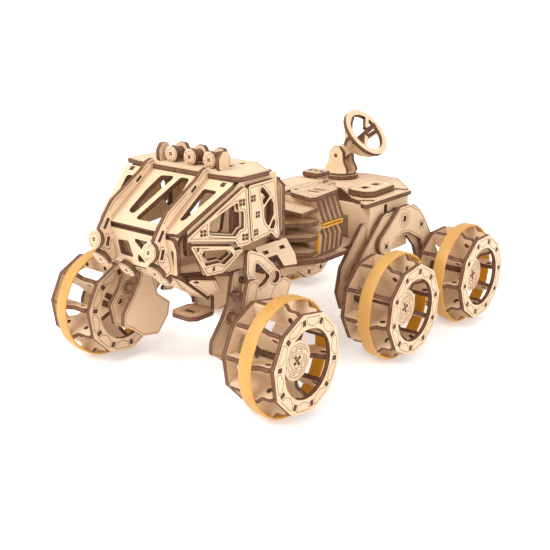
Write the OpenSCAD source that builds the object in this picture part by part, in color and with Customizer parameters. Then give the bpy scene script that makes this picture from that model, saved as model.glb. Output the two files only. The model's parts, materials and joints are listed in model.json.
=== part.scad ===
// Planetary rover: a laser-cut plywood mechanical model on six wheels.
// +X is forward (the cab end), +Y is left, +Z is up, and the ground is z = 0.
// Lengths are millimetres. Profiles are written from the front axle and the hub height.

/* [Sheet] */
// thickness of every plywood sheet
ply = 3; // [2:0.1:4]
// clearance left between sheet pieces that seat on each other
seat = 0.15; // [0.05:0.05:0.4]

/* [Wheels] */
// circumradius of the ten-sided ring plates
ring_r = 31.5; // [26:0.5:38]
// radius of the round opening in the ring plates
ring_open_r = 21.5; // [16:0.5:25]
// distance between the outer faces of the two ring plates, less one sheet
ring_pitch = 36; // [28:0.5:44]
// radius of the slats' outer edges beside the tyre band
slat_edge_r = 32; // [27:0.5:33]
// radius of the raised saddles that carry the tyre band
slat_tip_r = 35.6; // [34:0.1:39]
// width of the elastic tyre band
band_w = 9; // [5:0.5:12]
// thickness of the elastic tyre band
band_t = 1.3; // [0.8:0.1:3]
// distance of the band's centre from the inner ring plate's outer face
band_off = 18.8; // [12:0.1:22]
// radius of the hub disc
hub_r = 12.3; // [8:0.1:15]
// how far the hub disc lies inside the outer ring plate
hub_in = 8; // [4:0.5:12]
// outer radius of the hub tube
hub_tube_r = 6; // [4.5:0.1:8]

/* [Axles] */
// front axle, forward of the model's centre
front_x = 97.8; // [80:0.1:110]
// middle axle
mid_x = -20.2; // [-40:0.1:-5]
// rear axle
rear_x = -114.2; // [-130:0.1:-100]
// outer face of the outer ring plates, from the centre plane
track_y = 96.7; // [90:0.5:105]
// radius of the axle pins
axle_r = 2.5; // [1.5:0.1:3.5]
// radial running clearance of wheel and dish pivots
run_gap = 0.06; // [0.02:0.01:0.1]
// free space between the axle shoulder and the wheel hub tube
axle_play = 0.6; // [0.3:0.1:1.5]

/* [Cab] */
// half width of the cab at its rear wall
body_half = 46.5; // [42:0.5:50]
// half width of the cab at the foot of the windshield
nose_half = 33; // [28:0.5:36]
// outer face of the two guard rails, from the centre plane
rail_y = 24.5; // [22:0.5:28]
// underside height of the roof above the hubs
roof_z = 100; // [92:0.5:108]
// height of the cab floor above the hubs
floor_z = 40; // [34:0.5:44]
// radius of the roof lamps
lamp_r = 5; // [4:0.25:7.5]
// radius of the nose lamps
nose_lamp_r = 5.7; // [4:0.1:7]

/* [Mid body] */
// height of the two gridded deck panels above the hubs
deck_z = 74; // [70:0.5:80]
// half width of the central spine
spine_half = 12; // [9:0.5:16]
// number of ribs in the motor stack
rib_n = 5; // [3:1:6]
// spacing of the ribs
rib_pitch = 5.2; // [4.5:0.1:6.5]

/* [Rear box] */
// outer face of the rear box's side walls
box_half = 45; // [42:0.5:45.5]
// underside height of the rear deck above the hubs
box_top = 59; // [55:0.5:64]
// underside height of the rear box floor above the hubs
box_floor = 21; // [16:0.5:26]

/* [Running gear] */
// outer face of the inner leg plate
leg_in_y = 40; // [38:0.25:41]
// outer face of the outer leg plate
leg_out_y = 53.5; // [52:0.25:55]
// height of the bogie pivot above the hubs
pivot_z = 45.7; // [40:0.1:50]

/* [Dish] */
// dish turntable radius
table_r = 13; // [10:0.5:14]
// distance of the dish mast behind the front axle
dish_back = 194.5; // [188:0.5:198]
// distance of the dish mast right of the centre plane
dish_side = 20; // [16:0.5:24]
// height of the dish's tilt axis above the turntable
dish_axis_h = 13; // [11:0.5:16]
// clear width between the two mast plates
mast_gap = 9; // [7:0.5:12]
// radius of the dish rim
dish_r = 20; // [15:0.5:24]
// distance of the dish rim from its tilt axis
dish_reach = 27; // [24:0.5:30]
// elevation of the dish at rest, in degrees
dish_aim = 41; // [25:1:60]

/* [Hidden] */
$fn = 48;
tyre_r = slat_tip_r + 0.1 + band_t;
hub_z = tyre_r;
ring_in_y = track_y - ring_pitch;
ring_back_y = ring_in_y - ply;
wheel_x = [front_x, mid_x, rear_x];
ply_c = [0.87, 0.74, 0.55];
burnt_c = [0.42, 0.27, 0.18];
amber_c = [0.9, 0.62, 0.2];

// Points given from the front axle and the hub height, in the plane of the sheet.
function xz(pts) = [for (p = pts) [front_x + p[0], hub_z + p[1]]];
function xy(pts) = [for (p = pts) [front_x + p[0], p[1]]];
function yz(pts) = [for (p = pts) [p[0], hub_z + p[1]]];
// A half outline, given for positive second coordinate, closed with its mirror image.
function whole(pts) = concat(pts, [for (i = [len(pts) - 1:-1:0]) [pts[i][0], -pts[i][1]]]);
function whole_y(pts) = concat(pts, [for (i = [len(pts) - 1:-1:0]) [-pts[i][0], pts[i][1]]]);
// Corner rounding: each corner becomes a short arc of n + 1 points.
function unit(v) = v / norm(v);
function corner(a, b, c, r, n) =
    let (u = unit(a - b), v = unit(c - b), k = min(0.999, max(-0.999, u * v)))
    let (half = acos(k) / 2, d = min(r / tan(half), 0.45 * norm(a - b), 0.45 * norm(c - b)))
    let (q = d * tan(half), o = b + unit(u + v) * (d / cos(half)), s = b + u * d - o)
    let (e = b + v * d - o, turn = (s[0] * e[1] - s[1] * e[0]) > 0 ? 1 : -1)
    let (sweep = 180 - 2 * half)
    q < 0.05 ? [b] : [for (i = [0:n])
        let (t = turn * sweep * i / n)
        o + [s[0] * cos(t) - s[1] * sin(t), s[0] * sin(t) + s[1] * cos(t)]];
function soft(pts, r = 2, n = 3) = let (m = len(pts)) [for (i = [0:m - 1])
    each corner(pts[(i + m - 1) % m], pts[i], pts[(i + 1) % m], r, n)];

// Sheets: a flat outline raised to the sheet's thickness.
module sheet_xz(y_out, t = ply) {
    translate([0, y_out, 0])
        rotate([90, 0, 0])
            linear_extrude(t)
                children();
}
module sheet_xy(z0, t = ply) {
    translate([0, 0, hub_z + z0])
        linear_extrude(t)
            children();
}
module sheet_yz(x_back, t = ply) {
    translate([front_x + x_back, 0, 0])
        rotate([90, 0, 90])
            linear_extrude(t)
                children();
}
// A sheet whose outer face holds the line from p to q (x, z) and the Y direction;
// the outline is drawn as (distance from p, y).
module sheet_slope(p, q, t = ply) {
    a = atan2(p[1] - q[1], q[0] - p[0]);
    translate([front_x + p[0], 0, hub_z + p[1]])
        rotate([0, a, 0])
            translate([0, 0, -t])
                linear_extrude(t)
                    children();
}
module both() {
    children();
    mirror([0, 1, 0])
        children();
}
module slot(w, h) {
    square([w, h], center = true);
}

// ---------------------------------------------------------------- wheels
slat_n = 10;
phase = [26.5, 9.1, 2.1];
slot_r = 26;
hub_y = track_y - hub_in;
tube_end_y = ring_in_y + 1;

module ring_plate() {
    difference() {
        circle(r = ring_r, $fn = slat_n);
        circle(r = ring_open_r, $fn = 96);
    }
}
// A slat's outline as (radius, distance along the axle).
module slat_outline(spoke) {
    tongue = 0.8;
    a = ring_in_y - tongue;
    b = track_y - ply + tongue;
    c = ring_in_y + band_off;
    w = band_w / 2;
    rim_part = [[slat_edge_r, a + tongue + 1.5], [slat_edge_r, c - w - 2.5],
        [slat_tip_r, c - w - 0.6], [slat_tip_r, c + w + 0.6], [slat_edge_r, c + w + 2.5],
        [slat_edge_r, b - tongue - 1.5], [slot_r + 3, b], [ring_open_r + 1.5, b]];
    arm_part = [[ring_open_r - 3, b - 8], [hub_tube_r - 1, hub_y - ply],
        [hub_tube_r - 1, a + 5], [ring_open_r - 3, a + 7]];
    base_part = [[ring_open_r + 1.5, a], [slot_r + 3, a]];
    difference() {
        polygon(soft(concat(rim_part, spoke ? arm_part : [], base_part), 1.5, 2));
        translate([slot_r + 0.5, a + band_off + 9.5])
            circle(r = 2);
        translate([slot_r + 0.5, a + band_off - 9])
            circle(r = 1.6);
    }
}
// The wheel stands on its axis: local +Z is the outward end of the axle.
module wheel(turn) {
    for (a = [ring_back_y, track_y - ply])
        translate([0, 0, a])
            linear_extrude(ply)
                rotate(turn)
                    ring_plate();
    for (k = [0:slat_n - 1])
        rotate(turn + 360 / slat_n * k)
            rotate([90, 0, 0])
                linear_extrude(ply, center = true)
                    slat_outline(k % 2 == 0);
    difference() {
        union() {
            translate([0, 0, hub_y - ply])
                cylinder(r = hub_r, h = ply);
            translate([0, 0, tube_end_y])
                cylinder(r = hub_tube_r, h = hub_y - tube_end_y);
        }
        translate([0, 0, tube_end_y - 1])
            cylinder(r = axle_r + run_gap, h = hub_y - ply - tube_end_y + 1);
    }
}
module tyre() {
    c = ring_in_y + band_off;
    difference() {
        translate([0, 0, c - band_w / 2])
            cylinder(r = tyre_r, h = band_w, $fn = 96);
        translate([0, 0, c - band_w / 2 - 1])
            cylinder(r = slat_tip_r + 0.1, h = band_w + 2, $fn = 96);
    }
}
module on_axle(i) {
    translate([wheel_x[i], 0, hub_z])
        rotate([-90, 0, 0])
            children();
}
// A plain axle: a shoulder from the leg and a pin in the wheel's hub tube.
module axle(i, from_y) {
    on_axle(i) {
        translate([0, 0, from_y])
            cylinder(r = axle_r + 2, h = tube_end_y - axle_play - from_y);
        translate([0, 0, from_y])
            cylinder(r = axle_r, h = hub_y - ply - axle_play - from_y);
    }
}

// ---------------------------------------------------------------- cab
shield_top = [2, 101];
shield_foot = [40, 74];
shield_len = norm(shield_foot - shield_top);
nose_top = [39.9, 70.4];
nose_foot = [34, 47.5];
nose_len = norm(nose_foot - nose_top);
roof_half = body_half + 1;
flare = atan2(body_half - nose_half, 38);
side_len = norm([38, body_half - nose_half]);
wall_x = -37;
// The lower side panels lean in towards the chin by this angle.
lower_tilt = 12;

module roof_panel() {
    color(ply_c)
        sheet_xy(roof_z)
            difference() {
                polygon(xy(whole([[4, 0], [4, 31], [1, roof_half - 0.5], [-2, roof_half],
                    [-25, roof_half], [-37, 30], [-40, 26], [-40, 0]])));
                polygon(xy([[-12, -6], [-12, 6], [-24, 6], [-24, -6]]));
            }
}
module windshield_frame() {
    color(ply_c)
        sheet_slope(shield_top, shield_foot)
            difference() {
                polygon(soft(whole([[2.2, 0], [2.2, 44.4], [4, 44.6], [shield_len - 1, nose_half],
                    [shield_len - 1, 29], [shield_len, 24], [shield_len, 0]]), 1.5, 2));
                // centre openings between the rails, with the two braces left standing
                polygon(soft([[4.6, -0.2], [6, -11.5], [19, -14], [36.5, -14.6], [38.5, -9]], 2));
                polygon(soft([[4.8, 4.4], [4.8, 11.5], [24, 15], [41, 16.5], [41.4, -5.2]], 2));
                polygon(soft([[5, 16.6], [4.6, 21], [18, 21.3], [23, 19]], 1.2));
                // side openings outside the rails
                polygon(soft([[10.2, 27], [10.2, 38], [35, 30.5], [36, 27]], 1.5));
                polygon(soft([[10.2, -27], [10.2, -38], [35, -30.5], [36, -27]], 1.5));
            }
}
module nose_frame() {
    color(ply_c)
        sheet_slope(nose_top, nose_foot)
            difference() {
                polygon(soft(whole([[0, 0], [0, 30], [6, 31], [nose_len, 27], [nose_len, 0]]), 1.5, 2));
                polygon(soft([[7, -9], [8, -18.5], [18, -19], [18.5, -8]], 1.5));
                polygon(soft([[4.5, -5], [4.5, 18], [19, 18.5], [20, 9]], 1.5));
                polygon(soft([[14.5, -3], [20, 2.5], [20.5, -5]], 0.8));
                polygon(soft([[7, 26.5], [7, 28.5], [17, 26], [17, 25.8]], 0.6));
            }
}
// Nose lamps on each rail: x, z and the angle of the beam from straight up.
rail_lamps = [[52.2, 65, 78], [48, 51.8, 124]];
lamp_depth = 3;
// Rail outline: the front skin lines of the windshield and nose frame bound it behind.
module rail() {
    color(ply_c)
        sheet_xz(rail_y)
            difference() {
                polygon(xz(soft([[-1, 101], [3, 106.5], [8, 105], [13, 100.5], [37.5, 86], [44, 78],
                    [49.5, 70], [50.5, 62], [47, 53], [40, 48], [36, 50], [33, 60], [36, 70], [30, 80]], 2)));
                translate([front_x, hub_z]) {
                    polygon([shield_top + [-20, 14.3], shield_top + [0, seat], shield_foot + [seat, seat],
                        nose_top + [seat, 0], nose_foot + [seat, 0], [nose_foot[0], 30], [-20, 30]]);
                    translate([-20, 30])
                        square([24 + seat, roof_z + ply + seat - 30]);
                    for (p = rail_lamps)
                        translate([p[0], p[1]])
                            rotate(90 - p[2])
                                translate([-lamp_depth - seat, -nose_lamp_r - seat])
                                    square([12, 2 * nose_lamp_r + 2 * seat]);
                }
                translate([front_x, hub_z]) {
                    translate([16, 95.5]) rotate(-36) slot(5, 1.8);
                    translate([43.5, 73]) rotate(-57) slot(7, 2.2);
                    translate([43, 62]) rotate(-72) slot(6, 2.4);
                }
            }
}
module window_outline() {
    difference() {
        polygon(soft([[0, 71.5], [37, 97], [39.5, 96], [side_len + 1, 63.5], [40, 62.6],
            [33, 61.8], [31, 65.6], [1, 70]], 1.6));
        polygon(soft([[13.8, 71.6], [14.4, 79.2], [33, 89], [33.4, 83.4], [36.8, 82.8], [36.8, 72.4],
            [34, 72], [31.2, 68.4]], 1.2));
    }
}
// Side panels: local x runs back along the flared side, from the windshield's foot.
module on_side() {
    translate([front_x + 33, nose_half, 0])
        rotate([0, 0, 180 - flare])
            rotate([90, 0, 0])
                children();
}
module window_panel() {
    color(ply_c)
        on_side()
            linear_extrude(ply)
                translate([0, hub_z])
                    window_outline();
}
module lower_side_panel() {
    color(ply_c)
        on_side()
            translate([0, hub_z + 67, 0])
                rotate([lower_tilt, 0, 0])
                    linear_extrude(ply)
                        difference() {
                            polygon(soft([[1.5, 0.5], [29.5, -4], [31.5, -7.2], [38.4, -6.6], [24.5, -20.6],
                                [14, -21]], 1));
                            polygon(soft([[9, -7], [11, -3.8], [27, -5.6], [31.2, -10], [25, -15.5],
                                [22, -13.5], [15, -14], [13, -14.5]], 1));
                        }
}
// The frame behind the side panels: three plates that meet along the cab's corner.
function shield_under(x) = shield_top[1] - ((x - shield_top[0]) * (shield_top[1] - shield_foot[1])
    + ply * shield_len) / (shield_foot[0] - shield_top[0]);
module cab_side_frame() {
    top = roof_z - seat;
    near_s = 1.5;
    far_s = 34;
    color(ply_c) {
        on_side()
            translate([0, hub_z, -ply - seat])
                linear_extrude(ply)
                    difference() {
                        polygon([[near_s, 68.3], [near_s, shield_under(33 - near_s * cos(flare)) - 0.4],
                            [far_s, shield_under(33 - far_s * cos(flare)) - 0.4], [far_s + 2, top],
                            [39, top], [39, 62.4], [33, 62.4], [30, 64.7]]);
                        polygon(soft([[14.6, 72.4], [15.2, 78.4], [32, 87.2], [32.4, 82.4], [35.4, 82],
                            [35.4, 73.2], [33.4, 73], [30.4, 69.4]], 1.2));
                    }
        sheet_xz(body_half - ply - seat)
            difference() {
                polygon(xz([[0, 97.5], [-3, top], [wall_x + seat, top], [wall_x + seat, 60], [-30, 62],
                    [-8, 60], [0, 63]]));
                polygon(xz(soft([[-18.4, 91], [-20.5, 93], [-31, 84], [-31, 69], [-27, 67.6],
                    [-22.5, 73], [-21.6, 80]], 1)));
            }
        on_side()
            translate([0, hub_z + 67, 0])
                rotate([lower_tilt, 0, 0])
                    translate([0, 0, -ply - seat])
                        linear_extrude(ply)
                            difference() {
                                polygon([[3, 2.4], [30, -1.5], [39, -3.6], [39, -6.8], [25, -21.6], [13.4, -22]]);
                                polygon(soft([[11, -8], [12.6, -5], [26.4, -6.6], [29.6, -10.4], [24.6, -14.4],
                                    [21.6, -12.6], [15.6, -13]], 1));
                            }
    }
}
module rear_side_panel() {
    color(ply_c)
        sheet_xz(body_half)
            difference() {
                polygon(xz(soft([[-7, 96.5], [-32, 97], [-36, 60.5], [-33, 59.6], [-27.5, 64.2], [-12, 61.8],
                    [-9.4, 64.5]], 1.8)));
                polygon(xz(soft([[-17.6, 92], [-19.5, 94], [-22, 92], [-26.8, 87], [-20.5, 82]], 1)));
                polygon(xz(soft([[-27.6, 86], [-21.4, 81], [-20.6, 79], [-21.6, 73], [-25, 68.2],
                    [-30.2, 75], [-30, 82]], 1)));
                polygon(xz(soft([[-26, 67], [-30.6, 73.2], [-32, 69], [-30, 66]], 0.8)));
            }
}
module cab_bulkhead() {
    color(ply_c)
        sheet_yz(wall_x - ply)
            difference() {
                polygon(yz(whole_y([[0, roof_z - seat], [36, roof_z - seat], [body_half + 1, 92],
                    [body_half + 1, 64], [35, 57], [33, floor_z], [0, floor_z]])));
                polygon(yz(soft([[14, 88], [34, 84], [34, 61], [20, 54], [14, 57]], 3)));
                polygon(yz(soft([[-14, 88], [-34, 84], [-34, 61], [-20, 54], [-14, 57]], 3)));
            }
}
module cab_floor() {
    half = leg_in_y - ply - seat;
    color(ply_c)
        sheet_xy(floor_z)
            polygon(xy(whole([[17.4, 0], [17.4, 15], [8, 21.5], [-4, half], [wall_x + seat, half],
                [wall_x + seat, 0]])));
}

// ---------------------------------------------------------------- nose
chin_top = [31.9, 45.9];
chin_foot = [-13, 15.5];
chin_len = norm(chin_foot - chin_top);
// The chin's long side edge, as (distance down the chin, y).
chin_edge = [[10, 20], [38, 12]];

module chin_plates() {
    color(ply_c)
        sheet_slope(chin_top, chin_foot)
            difference() {
                polygon(soft(whole([[0, 0], [0, 15], chin_edge[0], chin_edge[1], [chin_len, 7], [chin_len, 0]]),
                    1.5, 2));
                for (p = [[8, 5], [8, -5], [8, 14], [8, -14], [17, 0], [17, 11], [17, -11], [26, 5],
                    [26, -5], [36, 0]])
                    translate(p)
                        slot(4.4, 2);
            }
}
// Winglets continue the chin outwards, folded up along its edges.
module nose_winglets() {
    fold = 35;
    first = (ply * sin(fold) + 2 * seat) / cos(fold);
    tilt = atan2(chin_top[1] - chin_foot[1], chin_foot[0] - chin_top[0]);
    edge = chin_edge[1] - chin_edge[0];
    color(ply_c)
        both()
            translate([front_x + chin_top[0], 0, hub_z + chin_top[1]])
                rotate([0, tilt, 0])
                    translate(chin_edge[0])
                        rotate([0, 0, atan2(edge[1], edge[0])])
                            rotate([-fold, 0, 0])
                                translate([0, 0, -ply])
                                    linear_extrude(ply)
                                        difference() {
                                            polygon(soft([[5, first], [3, 5], [16, 15.8], [33, 12],
                                                [38, first]], 1));
                                            translate([9, 6])
                                                rotate(10)
                                                    slot(4.4, 2.6);
                                        }
}
module step_plate() {
    color(ply_c)
        sheet_xy(6.5)
            difference() {
                polygon(xy(soft(whole([[6, 0], [6, 7], [2, 11], [-12, 11], [-17, 8], [-17, 0]]), 1.2)));
                translate([front_x - 3, 0])
                    slot(3.4, 8);
            }
}
// A lamp: a disc with a square boss; local +Z is the way it shines.
module lamp(r, depth) {
    color(burnt_c)
        translate([0, 0, -depth])
            cylinder(r = r, h = depth);
    color(ply_c)
        translate([0, 0, -0.1])
            cylinder(r = r - 0.6, h = 0.5);
}
module roof_lamps() {
    base = roof_z + ply;
    for (y = [-16, 0, 16])
        translate([front_x - 6.5, y, hub_z + base]) {
            translate([0, 0, lamp_r + seat])
                rotate([0, 90, 0])
                    lamp(lamp_r, ply);
            color(ply_c)
                translate([-9, 0, lamp_r + seat])
                    rotate([0, 90, 0])
                        cylinder(r = lamp_r - 1.2, h = 6);
            color(burnt_c)
                translate([-12, 0, 0])
                    rotate([90, 0, 90])
                        linear_extrude(ply)
                            polygon(soft([[-6, 0], [6, 0], [6, 2 * lamp_r - 3], [3, 2 * lamp_r + 1],
                                [-3, 2 * lamp_r + 1], [-6, 2 * lamp_r - 3]], 2));
        }
    // end plates of the lamp bar
    color(burnt_c)
        both()
            sheet_xz(26.5)
                polygon(xz(soft([[-13, base], [-4, base], [-4, base + 7], [-7, base + 11], [-12, base + 11],
                    [-13, base + 8]], 1.8)));
}
module nose_lamps() {
    both() {
        for (p = rail_lamps)
            translate([front_x + p[0], rail_y - ply / 2, hub_z + p[1]])
                rotate([0, p[2], 0])
                    lamp(nose_lamp_r, lamp_depth);
        translate([front_x + 35.3, 14.8, hub_z + 43.5])
            rotate([0, 124, 0])
                lamp(nose_lamp_r, lamp_depth);
    }
}

// ---------------------------------------------------------------- cab inside
module seat_piece() {
    z = floor_z + ply;
    color(ply_c) {
        for (s = [-1, 1])
            sheet_xz(s * 8 + ply / 2)
                polygon(xz(soft([[-8, z], [-8, z + 12], [-22, z + 13], [-27, z + 36], [-31, z + 38], [-30, z]], 2)));
        translate([front_x - 22, -11, hub_z + z + 12.2])
            cube([15, 22, ply]);
        translate([front_x - 23.5, 0, hub_z + z + 15.5])
            rotate([0, -12, 0])
                rotate([90, 0, 90])
                    linear_extrude(ply)
                        polygon(soft([[-10, 0], [10, 0], [10, 16], [6, 24], [-6, 24], [-10, 16]], 3));
    }
}
module control_wheel() {
    z = floor_z + ply;
    color(ply_c) {
        translate([front_x + 9, -5, hub_z + z])
            cube([ply, 10, 14]);
        translate([front_x + 9, 0, hub_z + z + 20])
            rotate([0, 70, 0])
                difference() {
                    cylinder(r = 8, h = ply);
                    for (a = [0, 120, 240])
                        rotate(a)
                            translate([4.6, 0, -1])
                                cylinder(r = 2, h = ply + 2);
                }
    }
}

// ---------------------------------------------------------------- mid body
mid_front = wall_x - ply - 0.2;
belly_z = 31;
shelf_z = [38, 48.3, 58];
spine_z = 62;
spine_back = -143;
rib_x = -80.5;
box_x = -135;
box_w = 15;
box_front_x = -138;
box_corner_x = -188;
box_back_x = -217;
arm_in_y = 40;

module belly_frame() {
    beam_y = 10;
    back = box_back_x + 18;
    color(ply_c) {
        both()
            sheet_xz(beam_y)
                polygon(xz(soft([[15.5, floor_z - seat], [2, 30.2], [-8, 23.4], [-14.8, 18.8],
                    [-14.8, 9.5 + seat], [-22, 9.5 + seat], [-32, 14], [back, 14],
                    [back, box_floor - seat], [box_front_x + 2, box_floor - seat],
                    [box_front_x + 2, belly_z - seat], [mid_front + 2, belly_z - seat],
                    [mid_front + 2, floor_z - seat]], 1.5)));
        // the step plate hangs from this cross plate
        sheet_yz(-20)
            polygon(yz([[-beam_y, 9.5 + seat], [beam_y, 9.5 + seat], [beam_y, 19], [-beam_y, 19]]));
        for (x = [-33, -70, -110])
            sheet_yz(x)
                polygon(yz([[-beam_y, 16], [beam_y, 16], [beam_y, belly_z - seat], [-beam_y, belly_z - seat]]));
        for (x = [-160, -196])
            sheet_yz(x)
                polygon(yz([[-beam_y, 15], [beam_y, 15], [beam_y, box_floor - seat], [-beam_y, box_floor - seat]]));
    }
}
module belly_deck() {
    color(ply_c)
        sheet_xy(belly_z)
            difference() {
                polygon(xy(whole([[mid_front, 0], [mid_front, 30], [-60, 32], [-84, body_half - 1.5],
                    [-111, body_half - 1.5], [-114, arm_in_y - seat - 0.4], [box_front_x + 2, arm_in_y - seat - 0.4],
                    [box_front_x + 2, 0]])));
                for (x = [-52, -126])
                    translate([front_x + x, 0])
                        slot(8, 22);
            }
}
// Shelf plates behind the cab; their near edges flare out to the motor ribs.
module equipment_shelves() {
    reach = -79;
    color(ply_c) {
        for (z = shelf_z)
            sheet_xy(z)
                polygon(xy(soft(whole([[mid_front, 0], [mid_front, 26], [-56, 30], [-70, body_half - 2],
                    [reach, body_half - 2], [reach, 0]]), 0.8)));
        both()
            for (x = [-50, -66])
                for (i = [0:len(shelf_z) - 2])
                    translate([front_x + x, 22, hub_z + shelf_z[i] + ply - 0.01])
                        cube([ply, 7, shelf_z[i + 1] - shelf_z[i] - ply + 0.02]);
    }
}
module rib_outline() {
    polygon(yz(whole_y([[0, belly_z + ply + seat], [40, belly_z + ply + seat], [45.3, 39], [46.3, 50],
        [44, 54.5], [44, 58.8], [46.6, 59.2], [40.5, deck_z - seat], [spine_half + seat, deck_z - seat],
        [spine_half + seat, spine_z - seat], [0, spine_z - seat]])));
}
module motor_ribs() {
    color(ply_c) {
        for (i = [0:rib_n - 1])
            sheet_yz(rib_x - ply - rib_pitch * i)
                rib_outline();
        // the posts that tie the stack together, with round button ends
        both() {
            for (z = [46, 65])
                translate([front_x + rib_x + 1, 34, hub_z + z])
                    rotate([0, -90, 0])
                        cylinder(r = 2.5, h = rib_pitch * (rib_n - 1) + ply + 2);
            for (x = [rib_x + 0.9, rib_x - rib_pitch * (rib_n - 1) - ply + 0.1])
                translate([front_x + x, 43.6, hub_z + 56.6])
                    rotate([0, -90, 0])
                        cylinder(r = 3, h = 1);
        }
    }
}
module motor_bands() {
    long = rib_pitch * (rib_n - 1) + ply;
    color(amber_c)
        both() {
            translate([front_x + rib_x - long + seat, 44.3, hub_z + 55])
                difference() {
                    cube([long - 2 * seat, 2, 3.4]);
                    translate([1.2, -1, 1.2])
                        cube([long - 2 * seat - 2.4, 4, 1]);
                }
            translate([front_x + rib_x + 0.3, 42.5, hub_z + 38])
                cube([1.2, 2, 14]);
        }
}
module lower_decks() {
    color(ply_c)
        both()
            sheet_xy(66.5)
                polygon(xy([[-63, spine_half + seat], [-59, body_half - 0.5], [-79, body_half - 3],
                    [-79, spine_half + seat]]));
}
module deck_panels() {
    back = rib_x - rib_pitch * (rib_n - 1) - ply - 6;
    color(ply_c)
        both()
            sheet_xy(deck_z)
                difference() {
                    polygon(xy(soft([[-77, 23], [-72, 42.5], [-76, 44.5], [back + 6, 41], [back, 34],
                        [back, spine_half + seat], [-90, spine_half + seat]], 0.8)));
                    for (x = [-88, -95])
                        translate([front_x + x, 33])
                            rotate(8)
                                slot(2.4, 9);
                    translate([front_x - 86, 20])
                        slot(4, 2.4);
                }
}
module spine_deck() {
    color(ply_c) {
        both()
            sheet_xz(spine_half)
                polygon(xz([[mid_front - seat, spine_z], [mid_front - seat, spine_z + 10],
                    [spine_back, spine_z + 10], [spine_back, spine_z]]));
        sheet_xy(spine_z + 10)
            difference() {
                polygon(xy(whole([[mid_front - seat, 0], [mid_front - seat, spine_half - 2], [-48, spine_half],
                    [box_x + box_w / 2 + seat, spine_half], [box_x + box_w / 2 + seat, 0]])));
                for (x = [-56, -92])
                    translate([front_x + x, 0])
                        slot(12, 5);
            }
        for (x = [-56, -100, spine_back])
            sheet_yz(x)
                polygon(yz([[-spine_half + 1, spine_z], [spine_half - 1, spine_z], [spine_half - 1, spine_z + 10],
                    [-spine_half + 1, spine_z + 10]]));
    }
}
module sample_box() {
    z = spine_z + 10 + seat;
    color(ply_c) {
        translate([front_x + box_x - box_w / 2 + 1.2, -box_w / 2 + 1.2, hub_z + z])
            cube([box_w - 2.4, box_w - 2.4, 4]);
        sheet_xy(z + 4)
            difference() {
                polygon(soft([for (p = [[-1, -1], [1, -1], [1, 1], [-1, 1]])
                    [front_x + box_x, 0] + p * box_w / 2], 2));
                translate([front_x + box_x, 0])
                    slot(3, 3);
            }
    }
}

// ---------------------------------------------------------------- rear box
module box_ring(grow) {
    polygon(xy(whole([[box_front_x + grow, 0], [box_front_x + grow, box_half + grow],
        [box_corner_x - grow * 0.4, box_half + grow], [box_back_x - grow, 16 + grow * 0.4],
        [box_back_x - grow, 0]])));
}
module rear_box() {
    top = box_top - seat;
    color(ply_c) {
        sheet_xy(box_floor)
            box_ring(-1);
        difference() {
            sheet_xy(box_floor, top - box_floor)
                difference() {
                    box_ring(0);
                    box_ring(-ply);
                }
            both() {
                // an open slot in the side wall, and a window in the front wall
                translate([front_x - 158, box_half, hub_z + 52])
                    cube([4, 12, 10], center = true);
                translate([front_x + box_front_x, 20, hub_z + 42])
                    cube([12, 14, 16], center = true);
            }
        }
        sheet_yz(-176)
            polygon(yz(whole_y([[0, box_floor + 1], [box_half - ply + 1, box_floor + 1],
                [box_half - ply + 1, top - 1], [box_half - 6, top], [0, top]])));
    }
}
module rear_deck() {
    color(ply_c)
        sheet_xy(box_top)
            difference() {
                polygon(xy(soft(whole([[-163, 0], [-163, 3], [-141, 28], [-138, 37], [-131, 42], [-130, box_half + 2],
                    [box_corner_x - 1, box_half + 2], [box_back_x - 3, 16], [box_back_x - 3, 0]]), 1)));
                both() {
                    translate([front_x - 140.5, 39])
                        rotate(40)
                            slot(3.2, 14);
                    translate([front_x - 187, 38])
                        rotate(22)
                            slot(3.2, 13);
                }
                translate([front_x - dish_back, -dish_side])
                    circle(r = 2.5 + run_gap);
            }
}
module rear_hatch() {
    color(ply_c)
        sheet_xy(box_top + ply + seat, 4.5)
            difference() {
                polygon(xy(soft([[-146, 24], [-150, 17.5], [-178, 15], [-184, 19], [-185, 33], [-180, 38],
                    [-152, 39.5], [-146, 35]], 3)));
                for (x = [-157, -173])
                    translate([front_x + x, 27])
                        slot(4.4, 4.4);
            }
}

// ---------------------------------------------------------------- running gear
rocker_in_y = 45;
arm_out_y = arm_in_y + ply;
bogie_in_y = 50;
bogie_out_y = 54.5;
bogie_x = -169;
mid_rel = mid_x - front_x;
rear_rel = rear_x - front_x;

// A round spacer between two sheets; x and z from the front axle, y from a to b.
module spacer(x, z, r, a, b) {
    translate([front_x + x, a, hub_z + z])
        rotate([-90, 0, 0])
            cylinder(r = r, h = b - a);
}
module front_leg() {
    color(ply_c) {
        sheet_xz(leg_in_y)
            polygon(xz(soft([[0, 44], [4, 25], [10, 16], [19, 5], [20, -3], [12, -8], [4, -14.5], [-10, -17],
                [-20, -6], [-22, 3], [-11, 11.5], [-7, 27], [-10, 44]], 2.5)));
        sheet_xz(leg_out_y)
            difference() {
                polygon(xz(soft([[2, 41], [6, 26], [11, 17], [19, 8], [16, -6], [6, -12], [-8, -12],
                    [-14, -4], [-10, 8], [-5, 24], [-8, 41]], 2.5)));
                polygon(xz(soft([[9, 7], [9, 12], [13, 7]], 0.6)));
            }
        for (p = [[4, 17], [0, 30], [-9, -6]])
            spacer(p[0], p[1], 3, leg_in_y - 1, leg_out_y - 1);
        axle(0, leg_in_y - ply);
    }
}
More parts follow.
